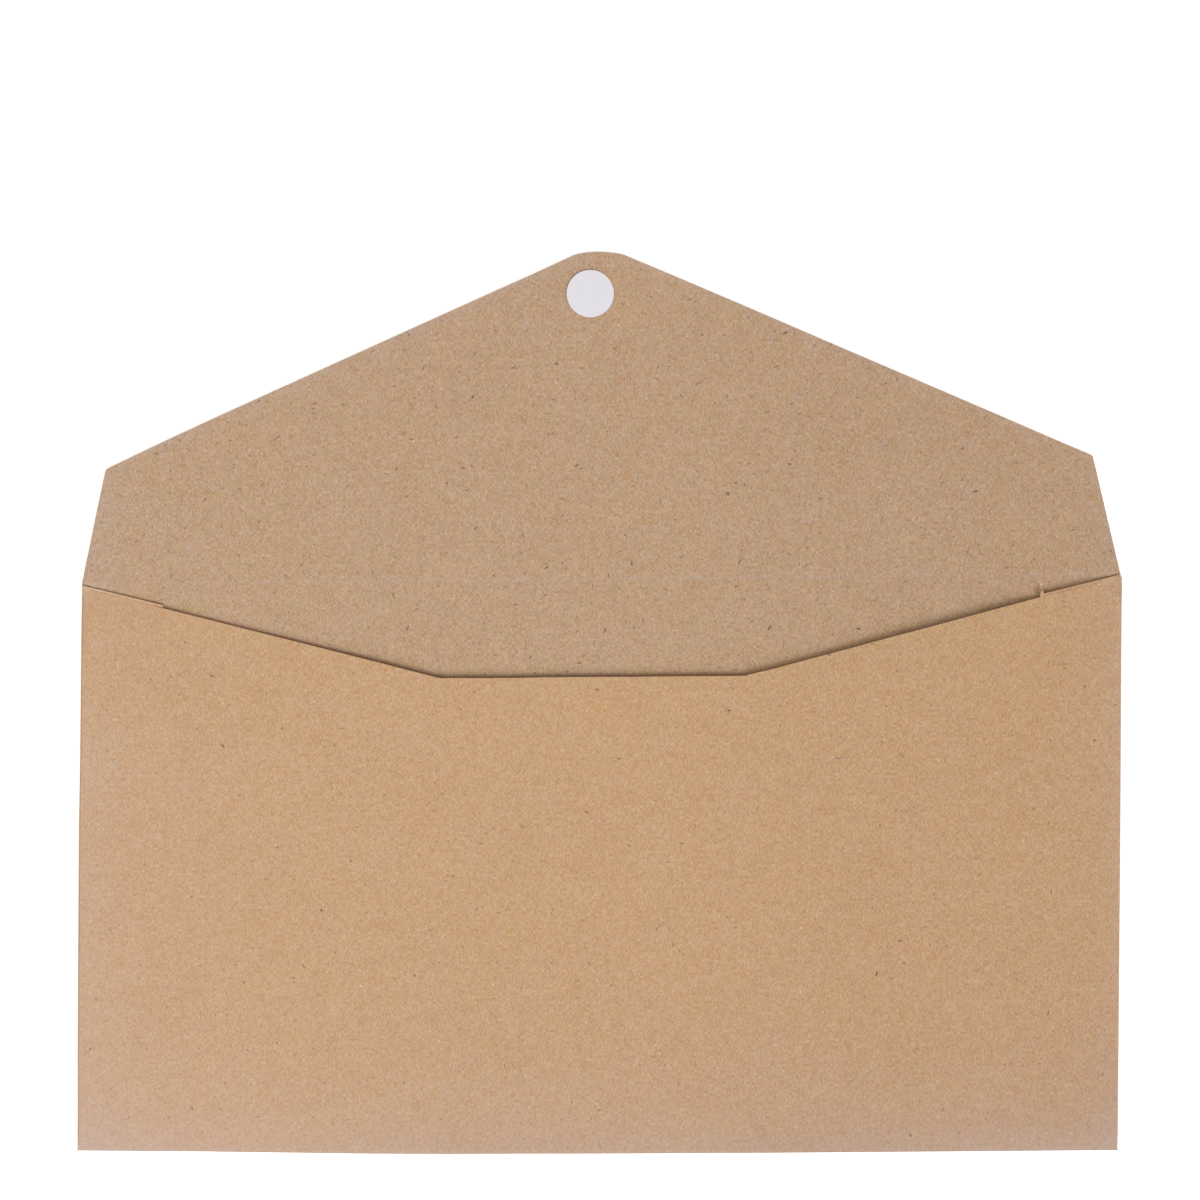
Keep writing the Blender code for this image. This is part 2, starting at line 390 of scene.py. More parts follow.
def soft_least(first, second, softness):
    """The lesser of two values, rounded where they cross."""
    return (first + second - math.hypot(first - second, softness)) / 2


def between(first, second, y):
    """x at this height of the straight line through two corners."""
    return first[0] + (second[0] - first[0]) * (y - first[1]) / (second[1] - first[1])


def flap_half(side, y):
    """Half the flap's width at y, on its left or right side."""
    sagged = y + slide(FLAP_SAG[side], y / MM) * MM if y > CREASE_HIGH else y
    return soft_least(between(FLAP_ROOT, SHOULDER, y), between(SHOULDER, TIP_CORNER, sagged), SHOULDER_SOFT)


def edge_haze(distance, strength, reach):
    """A strength that fades with the distance from an edge."""
    return strength * math.exp(-max(0.0, distance) / reach)


def flap_paling(u, v):
    """How much paler and cooler the flap and the rear panel's inside are, along the sides and the crease."""
    half = flap_half(1 if u > 0 else -1, max(v, CREASE_HIGH))
    side = edge_haze(half - abs(u), *FLAP_PALING)
    if u < 0:
        side += edge_haze(half + u, *FLAP_PALING_LEFT)
    else:
        side *= FLAP_RIGHT_SHARE
    return side + CREASE_PALING * math.exp(-(((v - CREASE_Y) / CREASE_PALING_HALF) ** 2))


def corner_lift(u, v):
    """How far the card stands off the table, above the tabs' heads and round them."""
    side = 1 if u > 0 else -1
    _, head_out, _, head_in = tab_corners(side)
    head = slide(sorted([head_out, head_in]), u)
    along = ease((v - head) / (CORNER_LIFT_RUN * MM)) * ease(1 - (v - CREASE_Y) / (CORNER_LIFT_REACH * MM))
    first_place = CORNER_LIFT[side][0][0]
    return slide(CORNER_LIFT[side], max(abs(u) / MM, first_place)) * MM * along


def flap_solid(u, v, depth):
    x, y = settle(u, v)
    return (x, y, depth + corner_lift(u, v))


def build_rear():
    columns = spread(-SEAM_X, SEAM_X)
    heads = spread(CREASE_LOW - HEAD_REACH, CREASE_LOW, HEAD_STEP)[:-1]
    rows = with_places(spread(SEAM_Y, CREASE_LOW), heads, room=HEAD_STEP / 2)
    piece = card_sheet(
        "rear_panel_sheet",
        columns,
        rows,
        lambda column, row, inset: (column, row),
        flap_solid,
        lambda u, v: flap_paling(u, v) if v > 0 else 0.0,
    )
    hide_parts("rear_panel")
    return piece


def crease_half(side, y):
    """Half the card's width at the crease, which is narrower where the side folds begin."""
    if y <= STRIP_FROM[side]:
        return SEAM_X
    return flap_half(side, y)


def build_crease():
    """The strip along the crease, between the rear panel and the flap, pressed in a little along its score.
    """
    columns = spread(-1.0, 1.0, CELL / HALF_WIDTH)
    rows = spread(CREASE_LOW, CREASE_HIGH, 2 * CREASE_HALF / CREASE_STEPS)
    widening = [start + more for start in STRIP_FROM.values() for more in (0.0, STRIP_WIDENS)]
    rows = with_places(rows, widening, room=STRIP_ROOM)

    def flat(column, row, inset):
        side = 1 if column > 0 else -1
        cut = inset if row > STRIP_FROM[side] else 0.0
        return column * (crease_half(side, row) - cut), row

    def solid(u, v, depth):
        x, y = settle(u, v)
        score = SCORE_DEPTH * ease(1 - abs(v - CREASE_Y) / SCORE_HALF)
        return (x, y, depth - score * depth / BOARD + corner_lift(u, v))

    piece = card_sheet("flap_crease_strip", columns, rows, flat, solid, flap_paling)
    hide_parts("flap_crease")
    return piece


def build_flap():
    columns = spread(-1.0, 1.0, CELL / HALF_WIDTH)
    top = TIP_CORNER[1] - TIP_SAG * MM
    shoulder_rows = [SHOULDER[1] + more for more in SHOULDER_ROWS]
    rows = with_places(spread(CREASE_HIGH, top), shoulder_rows, room=SHOULDER_ROOM)

    def flat(column, row, inset):
        from_peak = abs(column - TIP_PEAK) / (1 + (TIP_PEAK if column < TIP_PEAK else -TIP_PEAK))
        y = row + TIP_ARCH * MM * (1 - from_peak**2) * ease(1 - (top - row) / TIP_START)
        if row >= top:
            y -= inset
        return column * (flap_half(1 if column > 0 else -1, row) - inset), y

    piece = card_sheet("closing_flap_sheet", columns, rows, flat, flap_solid, flap_paling)
    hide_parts("closing_flap")
    return piece


# Front sheet

PRESS_REACH = 4.5 * MM  # below the mouth, where the glue begins
LIFT_REACH = 22 * MM
PRESSED = 1.06 * MM  # below this level over a tab the whole board sinks, not only its outer face
TAB_X = min(abs(tab_corners(side)[2][0]) for side in (-1, 1))  # where the tabs' inner ends begin
ON_TAB_FROM = 1.0 * MM  # inward of a tab's end, where the front begins to rest on it
ON_TAB_RUN = 1.5 * MM
NEAR_TAB = [k * 0.5 * MM for k in range(-6, 5)]  # columns close together, from a tab's inner end
NEAR_TAB_ROOM = 0.6 * MM
KINK_ROOM = 0.3 * MM
PANEL_ROWS = 44
EDGE_START = 5.0 * MM  # below the mouth's edge, where the even rows end
EDGE_ROWS = (4.1, 3.3, 2.6, 1.9, 1.3, 0.75, 0.3, 0.0)  # below the mouth's edge, in millimetres

# Painted reflection on the front: a paler, cooler colour near its sides and foot, where the bright
# surroundings would reflect, as its strength at the edge and the reach in which it fades
SIDE_PAINTED_SHEEN = {
    -1: [(0.16, 5 * MM), (0.37, 28 * MM)],
    1: [(0.42, 3.5 * MM)],
}
UPPER_LEFT_LESS = 0.45  # the share of the left side's painted reflection that is missing further up
FOOT_PAINTED_SHEEN = 0.30
FOOT_PAINTED_SHEEN_RIGHT = 0.14  # more at the right end
FOOT_PAINTED_SHEEN_REACH = 5 * MM
FOOT_HAZE = 0.44
FOOT_HAZE_PAST_LEFT = 0.10  # more past the left end
FOOT_HAZE_REACH = 17 * MM

# Painted shade of the front, in the bend, along the foot's edge and above the foot
BEND_PAINTED_SHADE = 0.25  # in the bend
BEND_PAINTED_SHADE_ENDS = 0.06  # more at its two ends
EDGE_PAINTED_SHADE = 0.014  # along the foot's edge
EDGE_PAINTED_SHADE_LEFT = 0.02  # more at its left end
EDGE_PAINTED_SHADE_REACH = 1.2 * MM
FOOT_PAINTED_SHADE = 0.065  # above the foot, past its left end, as far up as the foot's haze
CORNER_PAINTED_SHADE = 0.03  # more in its right half
CORNER_PALE = (0.048, 6 * MM)  # less in its lower right corner, and in what reach


def mouth_y(x):
    """Height of the mouth's edge at x."""
    return slide(MOUTH, x) + slide(MOUTH_WAVE, max(x / MM, MOUTH_WAVE[0][0])) * MM


def on_tab(x):
    """1 where the front lies on a tab and 0 between the tabs."""
    return ease((abs(x) - TAB_X + ON_TAB_FROM) / ON_TAB_RUN)


def front_lift(x, down):
    """How far the front's outer face and its whole board rise or sink, this far below the mouth's edge."""
    level = eased(MOUTH_LEVEL, x / MM) * MM
    board = min(0.0, level - PRESSED) * on_tab(x)
    outer = level - board - front_high.z
    return outer * ease(1 - down / LIFT_REACH), board * ease(1 - down / PRESS_REACH)


def front_solid(u, v, depth):
    """v is the card's own y, which runs on down through the bend as if it lay flat."""
    run = BEND_Y - v
    if run <= 0:
        x, y = settle(u, v)
        return (x, y, depth)
    radius = BEND_RADIUS - depth
    turn = min(run / BEND_LENGTH, 1.0) * math.pi
    y = BEND_Y - radius * math.sin(turn) + max(0.0, run - BEND_LENGTH)
    z = BEND_RADIUS - radius * math.cos(turn)
    down = mouth_y(u) - y
    if run > BEND_LENGTH:
        outer, board = front_lift(u, down)
        z += outer * (1 - on_tab(u) * depth / BOARD) + board
    x, y = settle(u, y)
    return (x, y, z)


def side_painted_sheen(side, inward):
    """How much painted reflection pales the outside at this distance in from a side fold."""
    return sum(edge_haze(inward, strength, reach) for strength, reach in SIDE_PAINTED_SHEEN[side])


def front_painted_sheen(u, v):
    """How much painted reflection pales and cools the front, along its foot and its sides."""
    run = BEND_Y - v
    if run < 0:
        return 0.0
    y = BEND_Y + (run - BEND_LENGTH)
    above = max(0.0, y - bend_low.y)
    near = FOOT_PAINTED_SHEEN + FOOT_PAINTED_SHEEN_RIGHT * ramp(u, *RIGHT_END)
    far = FOOT_HAZE + FOOT_HAZE_PAST_LEFT * ramp(u, *PAST_LEFT)
    foot = edge_haze(above, near, FOOT_PAINTED_SHEEN_REACH) + edge_haze(above, far, FOOT_HAZE_REACH)
    left = side_painted_sheen(-1, u + HALF_WIDTH) * (1 - UPPER_LEFT_LESS * ramp(y, *UPPER_LEFT))
    return left + side_painted_sheen(1, HALF_WIDTH - u) + foot


def front_painted_shade(u, v):
    """How much painted shade darkens the front in the bend round the foot, and above it.

    The bend's painted shade rises over the first half of the bend and fades over its last third.
    """
    run = BEND_Y - v
    above = max(0.0, run - BEND_LENGTH)
    past_left = ramp(u, *PAST_LEFT)
    left = 1 - past_left
    right = ramp(u, *RIGHT_END)
    # Painted shade in the bend
    score = BEND_PAINTED_SHADE + BEND_PAINTED_SHADE_ENDS * (left + right)
    score = score * ease(2 * run / BEND_LENGTH) * ease(3.0 * (1 - run / BEND_LENGTH))
    # Painted shade along the foot's edge
    pressed = 0.0
    if run > BEND_LENGTH / 2:
        pressed = edge_haze(above, EDGE_PAINTED_SHADE + EDGE_PAINTED_SHADE_LEFT * left, EDGE_PAINTED_SHADE_REACH)
    # Painted shade above the foot: more in the right half, less in the lower right corner
    corner = CORNER_PAINTED_SHADE * ramp(u, *RIGHT_HALF) - right * edge_haze(above, *CORNER_PALE)
    return score + pressed + painted_falloff(u, v) + edge_haze(above, FOOT_PAINTED_SHADE * past_left + corner, FOOT_HAZE_REACH)


def front_half(run):
    """Half the front's width: the envelope's own, from a quarter to half of the way round the foot."""
    past_middle = max(0.0, run - BEND_LENGTH / 2)
    full = ease(4 * run / BEND_LENGTH) * ease(1 - past_middle / (BEND_LENGTH / 2 + CORNER_RISE * MM))
    return FRONT_SIDE + (HALF_WIDTH - FRONT_SIDE) * full


def build_front():
    """The front and its bottom fold, as one sheet from the rear panel's foot to the mouth."""
    kinks = [MOUTH[1][0], MOUTH[2][0]] + [x * MM for x, _ in MOUTH_WAVE[1:-1]]
    near_tabs = [side * (TAB_X + more) for side in (-1, 1) for more in NEAR_TAB]
    columns = with_places(spread(-FRONT_SIDE, FRONT_SIDE), near_tabs, room=NEAR_TAB_ROOM)
    columns = with_places(columns, kinks, room=KINK_ROOM)
    bend_rows = [-SEAM_SETBACK] + [BEND_LENGTH * k / FOLD_STEPS for k in range(FOLD_STEPS + 1)]
    rows = [("bend", run) for run in bend_rows]
    rows += [("panel", k / PANEL_ROWS) for k in range(1, PANEL_ROWS + 1)]
    rows += [("edge", down * MM) for down in EDGE_ROWS]

    def flat(column, row, inset):
        kind, value = row
        top = mouth_y(column) - BEND_Y
        if kind == "bend":
            run = value
        elif kind == "panel":
            run = BEND_LENGTH + value * (top - EDGE_START)
        else:
            run = BEND_LENGTH + top - value
            if value == 0.0:
                run -= inset
        return column * (front_half(run) - inset) / FRONT_SIDE, BEND_Y - run

    piece = card_sheet("front_panel_sheet", columns, rows, flat, front_solid, front_painted_sheen, front_painted_shade)
    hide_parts("front_panel", "bottom_fold")
    return piece


# Side tabs

TAB_SINK = 0.09 * MM
TAB_SINK_RUN = 3 * MM
CURL_RUN = 0.12 * MM
TAB_CELL = 1.0 * MM
TAB_ROWS = 60
TAB_EDGE_START = 1.6  # below a tab's head, in shares of how far it shows above the front
TAB_EDGE_ROWS = (1.4, 1.2, 1.0, 0.5, 0.0)
FOLD_PAINTED_LIGHT = {-1: 0.09, 1: -0.02}  # painted light on each side fold: the left one, in the key light's shade, is painted lighter, and the right one a little darker


def build_tab(word, side):
    """A tab and its side fold, as one sheet from the rear panel's side."""
    foot_out, head_out, foot_in, head_in = tab_corners(side)
    fold_runs = [-SEAM_SETBACK] + [SIDE_LENGTH * k / FOLD_STEPS for k in range(FOLD_STEPS + 1)]
    flat_run = SIDE_LENGTH + SIDE_X - abs(foot_in[0])
    columns = fold_runs + spread(SIDE_LENGTH, flat_run, TAB_CELL)[1:]
    rows = [("panel", k / TAB_ROWS) for k in range(TAB_ROWS + 1)]
    rows += [("edge", share) for share in TAB_EDGE_ROWS]

    def ends(run):
        """y of the tab's foot and head, and how far its head shows above the front."""
        inward = min(1.0, max(0.0, (run - SIDE_LENGTH) / (flat_run - SIDE_LENGTH)))
        foot = foot_out[1] + (foot_in[1] - foot_out[1]) * inward
        head = head_out[1] + (head_in[1] - head_out[1]) * inward
        if 0 < run < SIDE_LENGTH:
            head -= HEAD_DIP[side] * MM * math.sin(math.pi * run / SIDE_LENGTH)
        x = side * (SIDE_X - max(0.0, run - SIDE_LENGTH))
        return foot, head, head - mouth_y(x)

    def flat(column, row, inset):
        kind, value = row
        foot, head, peek = ends(column)
        run = column - inset if column >= flat_run else column
        if kind == "panel":
            y = foot + value * (head - TAB_EDGE_START * peek - foot)
            if value == 0.0:
                y += inset
        else:
            y = head - value * peek
            if value == 0.0:
                y -= inset
        if column < 0:
            y = SEAM_Y + (CREASE_LOW - SEAM_Y) * (y - foot) / (head - foot)
        return side * (SIDE_X + run), y

    def solid(u, v, depth):
        run = side * u - SIDE_X
        if run <= 0:
            x, y = settle(u, v)
            return (x, y, depth)
        radius = SIDE_RADIUS - depth
        turn = min(run / SIDE_LENGTH, 1.0) * math.pi
        x = SIDE_X + radius * math.sin(turn) - max(0.0, run - SIDE_LENGTH)
        z = SIDE_RADIUS - radius * math.cos(turn)
        if run > SIDE_LENGTH:
            _, head, peek = ends(run)
            inward = ease((run - SIDE_LENGTH) / TAB_SINK_RUN)
            sink = TAB_SINK * inward * ease(1 - (head - v) / PRESS_REACH)
            curl = slide(TAB_CURL[side], (run - SIDE_LENGTH) / MM) * MM
            z += curl * ease(1 + (peek - (head - v)) / CURL_RUN) - sink
        x, y = settle(side * x, v)
        return (x, y, z)

    # Painted reflection: a paler, cooler colour near the side fold
    def rub(u, v):
        return side_painted_sheen(side, abs(side * u - SIDE_X - SIDE_LENGTH))

    # Painted shade towards the right, and painted light on the side fold
    def dull(u, v):
        return painted_falloff(u, v) - (FOLD_PAINTED_LIGHT[side] if side * u > SIDE_X else 0.0)

    piece = card_sheet("side_tab_sheet_" + word, columns, rows, flat, solid, rub, dull)
    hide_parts("side_tab_" + word, "side_fold_" + word)
    return piece


# Adhesive dot and its release paper

DISC_SEGMENTS = 96
DISC_RINGS = 6
DISC_EASE = 0.02 * MM  # how far a disc's rim is rounded
DOT_ASIDE = 0.21 * MM  # how far right of its place in the CAD, once settled, the dot sits
DOT_UP = 0.18 * MM


def build_disc(name, low, high):
    """A thin round label between two corners of its box, with a rounded rim."""
    x, y = settle((low.x + high.x) / 2, (low.y + high.y) / 2)
    x += DOT_ASIDE
    y += DOT_UP
    radius = (high.x - low.x) / 2
    profile = [(radius * k / DISC_RINGS, low.z) for k in range(1, DISC_RINGS)]
    profile += [(radius - DISC_EASE, low.z), (radius, low.z + DISC_EASE), (radius, high.z - DISC_EASE)]
    profile += [(radius - DISC_EASE, high.z)]
    profile += [(radius * k / DISC_RINGS, high.z) for k in range(DISC_RINGS - 1, 0, -1)]
    shape = bmesh.new()
    first = shape.verts.new((x, y, low.z))
    last = shape.verts.new((x, y, high.z))
    turns = [2 * math.pi * k / DISC_SEGMENTS for k in range(DISC_SEGMENTS)]
    rings = [
        [shape.verts.new((x + r * math.cos(turn), y + r * math.sin(turn), z)) for turn in turns]
        for r, z in profile
    ]
    for k in range(DISC_SEGMENTS):
        after = (k + 1) % DISC_SEGMENTS
        shape.faces.new((first, rings[0][after], rings[0][k]))
        shape.faces.new((last, rings[-1][k], rings[-1][after]))
    for inside, outside in zip(rings, rings[1:]):
        join_rings(shape, inside, outside)
    bmesh.ops.recalc_face_normals(shape, faces=shape.faces)
    return finish_mesh(name, shape)


# Torn paper at the right tab's inner corner, in millimetres from that corner

FLAKE = [
    (-0.40, -0.66), (-0.41, -0.30), (-0.35, -0.10), (-0.38, 0.16), (-0.30, 0.36), (-0.25, 0.62),
    (-0.17, 0.66), (-0.13, 0.94), (-0.05, 1.02), (-0.01, 0.78), (0.06, 0.58), (0.13, 0.62), (0.19, 0.40),
    (0.29, 0.28), (0.33, 0.02), (0.26, -0.26), (0.14, -0.52), (0.0, -0.60), (-0.12, -0.70), (-0.26, -0.64),
]
FLAKE_MIDDLE = (-0.04, 0.0)
FLECK = [
    (-0.42, 1.72), (-0.46, 1.92), (-0.38, 2.12), (-0.33, 2.30), (-0.24, 2.34), (-0.20, 2.16), (-0.10, 2.06),
    (-0.04, 1.88), (-0.10, 1.74), (-0.22, 1.78), (-0.31, 1.68),
]
FLECK_MIDDLE = (-0.25, 2.0)
FLAKE_THICKNESS = 0.07 * MM
FLAKE_LIFT = 0.03 * MM  # above the front's edge
FLAKE_SLOPE = 0.06 * MM  # how much it rises in each millimetre up from the corner
CROWN_SHARE = 0.6  # of the outline, which its crown takes up
CROWN_HEIGHT = 0.02 * MM
FIBRES = [  # foot, end, sideways bend, thickness at the foot and the end
    ((-0.10, 0.85), (-0.24, 1.80), 0.08, 0.07, 0.05),
    ((-0.32, 0.25), (-0.58, 0.80), -0.05, 0.08, 0.05),
    ((0.10, 0.45), (0.20, 0.92), 0.05, 0.07, 0.05),
]
FIBRE_SIDES = 8
FIBRE_RINGS = 12
FIBRE_TIP = 0.5  # how much of its thickness a fibre's last ring has
FIBRE_ARCH = 0.04 * MM
FIBRE_ARCH_TURN = 2.2  # how far along a sine wave the arch goes, in radians
TORN_ANGLE = math.radians(50)  # as SMOOTH_ANGLE


def add_flake(shape, place, rise, outline, middle, kind):
    """A flat flake of this outline, with a slightly raised crown."""

    def crown(at, centre):
        return centre + CROWN_SHARE * (at - centre)

    low = [place(dx, dy, rise(dy) - FLAKE_THICKNESS) for dx, dy in outline]
    high = [place(dx, dy, rise(dy)) for dx, dy in outline]
    inner = [
        place(crown(dx, middle[0]), crown(dy, middle[1]), rise(dy) + CROWN_HEIGHT) for dx, dy in outline
    ]
    shape.faces.new(inner).material_index = kind
    shape.faces.new(list(reversed(low))).material_index = kind
    join_rings(shape, low, high, kind)
    join_rings(shape, high, inner, kind)


def add_fibre(shape, place, level, foot, end, bend, thick_foot, thick_end):
    """A thin round fibre that bends sideways and arches a little."""
    (x0, y0), (x1, y1) = foot, end
    turns = [2 * math.pi * k / FIBRE_SIDES for k in range(FIBRE_SIDES)]
    rings = []
    for k in range(FIBRE_RINGS + 1):
        share = k / FIBRE_RINGS
        across = x0 + (x1 - x0) * share + bend * math.sin(math.pi * share)
        up = y0 + (y1 - y0) * share
        half = (thick_foot + (thick_end - thick_foot) * share**3) / 2
        if k == FIBRE_RINGS:
            half *= FIBRE_TIP
        z = level + FIBRE_ARCH * math.sin(FIBRE_ARCH_TURN * share)
        rings.append([
            place(across + half * math.cos(turn), up, z + half * MM * math.sin(turn)) for turn in turns
        ])
    for near, far in zip(rings, rings[1:]):
        join_rings(shape, near, far)
    shape.faces.new(list(reversed(rings[0])))
    shape.faces.new(rings[-1])


def build_torn():
    """A torn flake of the card's top layer, with a few fibres, and a fleck that has material 1."""
    corner_x, corner_y = tab_corners(1)[3]
    level = eased(MOUTH_LEVEL, corner_x / MM) * MM + FLAKE_LIFT
    shape = bmesh.new()

    def place(across, up, z):
        x, y = settle(corner_x + across * MM, corner_y + up * MM)
        return shape.verts.new((x, y, z))

    def rise(up):
        return level + FLAKE_SLOPE * up

    add_flake(shape, place, rise, FLAKE, FLAKE_MIDDLE, kind=0)
    add_flake(shape, place, rise, FLECK, FLECK_MIDDLE, kind=1)
    for fibre in FIBRES:
        add_fibre(shape, place, level, *fibre)
    bmesh.ops.recalc_face_normals(shape, faces=shape.faces)
    return finish_mesh("torn_fibres", shape, sharp=TORN_ANGLE)


# Nodes

OFFSET_LEAN = (1.0, 0.7, 1.3)  # the direction in which layers of noise are set apart
LAYER_OFFSET = 29.0  # between the noise of two layers
MOTTLE_DETAIL = 1.0

# Which of the Mix node's sockets are for colours
MIX_SHARE, MIX_FIRST, MIX_SECOND = 0, 6, 7
MIX_RESULT = 2


def add(tree, kind, inputs=None, **settings):
    """A shader node, whose inputs take values or the outputs of other nodes."""
    made = tree.nodes.new(kind)
    for name, value in settings.items():
        setattr(made, name, value)
    for key, value in (inputs or {}).items():
        if isinstance(value, bpy.types.NodeSocket):
            tree.links.new(value, made.inputs[key])
        else:
            made.inputs[key].default_value = value
    return made


def maths(tree, operation, first, second=0.0, third=0.0):
    inputs = {0: first, 1: second, 2: third}
    return add(tree, "ShaderNodeMath", inputs, operation=operation).outputs[0]


def vector_maths(tree, operation, first, second):
    return add(tree, "ShaderNodeVectorMath", {0: first, 1: second}, operation=operation).outputs[0]


def blend_colours(tree, share, first, second):
    """Goes from the first colour to the second with share, and on past it where share is over 1."""
    inputs = {MIX_SHARE: share, MIX_FIRST: first, MIX_SECOND: second}
    made = add(tree, "ShaderNodeMix", inputs, data_type="RGBA", clamp_factor=False)
    return made.outputs[MIX_RESULT]


def mottle(tree, place, size_x, size_y, strength, offset):
    """Noise about 0, with patches of this size in millimetres."""
    scaled = vector_maths(tree, "MULTIPLY", place, (1 / size_x, 1 / size_y, 1.0))
    moved = vector_maths(tree, "ADD", scaled, tuple(offset * lean for lean in OFFSET_LEAN))
    noise = add(tree, "ShaderNodeTexNoise", {"Vector": moved, "Scale": 1.0, "Detail": MOTTLE_DETAIL})
    return maths(tree, "MULTIPLY_ADD", noise.outputs["Fac"], 2 * strength, -strength)


def mottles(tree, place, layers, share, offset):
    """The sum of some layers of mottling."""
    total = 0.0
    for k, (size_x, size_y, strength) in enumerate(layers):
        layer = mottle(tree, place, size_x, size_y, strength * share, offset + LAYER_OFFSET * k)
        total = maths(tree, "ADD", layer, total)
    return total


# Scattered fibres

FIBRE_JITTER = 0.9  # how freely a fibre lies in its cell, up to 1
FIBRE_LEAST = 0.45  # length of the shortest fibre, as a share of the length that is asked for
FIBRE_VARIETY = 1.1  # how much of that length the longest fibre has more than the shortest
FIBRE_EDGE = (1.5, 0.4)  # where a fibre fades out and is full: square of the distance over its half size
FAINTEST = 0.35  # strength of the shortest fibre


def fibre_group():
    """Marks one small fibre or speck in some cells of a plane, as a mask from 0 to 1."""
    name = "scattered_fibres"
    if name in bpy.data.node_groups:
        return bpy.data.node_groups[name]
    group = bpy.data.node_groups.new(name, "ShaderNodeTree")
    face = group.interface
    face.new_socket("Place", in_out="INPUT", socket_type="NodeSocketVector")
    for word in ("Cell", "Length", "Width", "Turn", "Share"):
        face.new_socket(word, in_out="INPUT", socket_type="NodeSocketFloat")
    face.new_socket("Mask", in_out="OUTPUT", socket_type="NodeSocketFloat")
    ports = group.nodes.new("NodeGroupInput").outputs
    scaled = vector_maths(group, "DIVIDE", ports["Place"], ports["Cell"])
    cells = add(
        group,
        "ShaderNodeTexVoronoi",
        {"Vector": scaled, "Scale": 1.0, "Randomness": FIBRE_JITTER},
        voronoi_dimensions="2D",
        feature="F1",
    )
    offset = vector_maths(group, "SUBTRACT", scaled, cells.outputs["Position"])
    offset = vector_maths(group, "MULTIPLY", offset, ports["Cell"])
    chance = add(group, "ShaderNodeSeparateColor", {0: cells.outputs["Color"]})
    red, green, blue = chance.outputs
    turn = maths(group, "MULTIPLY", maths(group, "SUBTRACT", red, 0.5), ports["Turn"])
    turned = add(group, "ShaderNodeVectorRotate", {"Vector": offset, "Angle": turn}, rotation_type="Z_AXIS")
    parts = add(group, "ShaderNodeSeparateXYZ", {0: turned.outputs[0]})
    size = maths(group, "MULTIPLY_ADD", blue, FIBRE_VARIETY, FIBRE_LEAST)
    across = maths(group, "DIVIDE", parts.outputs["X"], maths(group, "MULTIPLY", ports["Width"], 0.5))
    half_length = maths(group, "MULTIPLY", maths(group, "MULTIPLY", ports["Length"], 0.5), size)
    along = maths(group, "DIVIDE", parts.outputs["Y"], half_length)
    across_squared = maths(group, "MULTIPLY", across, across)
    far = maths(group, "ADD", across_squared, maths(group, "MULTIPLY", along, along))
    edge_from, edge_to = FIBRE_EDGE
    spot = add(
        group,
        "ShaderNodeMapRange",
        {"Value": far, "From Min": edge_from, "From Max": edge_to, "To Min": 0.0, "To Max": 1.0},
        interpolation_type="SMOOTHSTEP",
    )
    present = maths(group, "LESS_THAN", green, ports["Share"])
    strength = maths(group, "MULTIPLY_ADD", blue, 1 - FAINTEST, FAINTEST)
    shown = maths(group, "MULTIPLY", present, strength)
    mask = maths(group, "MULTIPLY", spot.outputs[0], shown)
    end = group.nodes.new("NodeGroupOutput")
    group.links.new(mask, end.inputs["Mask"])
    return group


def fibres(tree, place, cell, length, width, turn, share):
    """A mask of fibres of this length and width, in this share of cells of this size, in millimetres."""
    made = add(tree, "ShaderNodeGroup", node_tree=fibre_group())
    tree.links.new(place, made.inputs["Place"])
    values = {"Cell": cell, "Length": length, "Width": width, "Turn": turn, "Share": share}
    for key, value in values.items():
        made.inputs[key].default_value = value
    return made.outputs["Mask"]


# Materials

OUTER_COLOUR = (0.509, 0.313, 0.169)
INNER_COLOUR = (0.456, 0.301, 0.185)
KRAFT_ROUGHNESS = 0.86
KRAFT_SPECULAR = 0.25
KRAFT_BUMP = 0.25
KRAFT_RELIEF = 0.02 * MM
# A paler, cooler colour; on the front and its side folds it is painted reflection of the bright surroundings
PALING_AND_SHEEN_TINT = (1.0, 1.135, 1.60)
PALING_AND_SHEEN_CALM = 0.50  # how much of the grain the paling and painted reflection take away

# Layers of mottling: width and height of the patches in millimetres, and strength
GRAIN_FINE = [(0.26, 0.60, 0.38), (0.62, 1.20, 0.135)]
GRAIN_BROAD = [(1.30, 2.00, 0.072), (3.2, 3.8, 0.047), (14.0, 16.0, 0.026)]
DRIFT_GREY = [(0.45, 0.75, 0.07), (1.3, 2.0, 0.155), (4.0, 5.0, 0.05), (15.0, 19.0, 0.04)]
DRIFT_PINK = [(0.40, 0.60, 0.07), (1.1, 1.6, 0.047), (3.5, 4.5, 0.019)]
MOTTLING = [  # layers, share of each colour
    (GRAIN_FINE, (0.88, 1.22, 1.85)),
    (GRAIN_BROAD, (0.80, 1.22, 2.00)),
    (DRIFT_GREY, (-0.18, 0.16, 1.0)),  # from yellow to grey
    (DRIFT_PINK, (-0.45, 1.0, -0.55)),  # from khaki to pink
]
MOTTLING_OFFSET = 307.0  # between the noise of two kinds of mottling
WARP = (1.5, 1.5, 0.5, 7.0)  # of the fibres: its patches' width and height, strength and offset
DARK_FIBRES = [  # cell, length, width, turn, share of cells, colour, strength
    (7.0, 0.68, 0.38, 4.0, 0.078, (0.070, 0.045, 0.050), 0.76),
    (3.6, 0.54, 0.30, 4.0, 0.20, (0.10, 0.062, 0.060), 0.62),
    (2.4, 0.80, 0.15, 2.4, 0.22, (0.20, 0.11, 0.08), 0.50),
    (6.3, 1.70, 0.13, 6.3, 0.08, (0.12, 0.08, 0.055), 0.50),
]
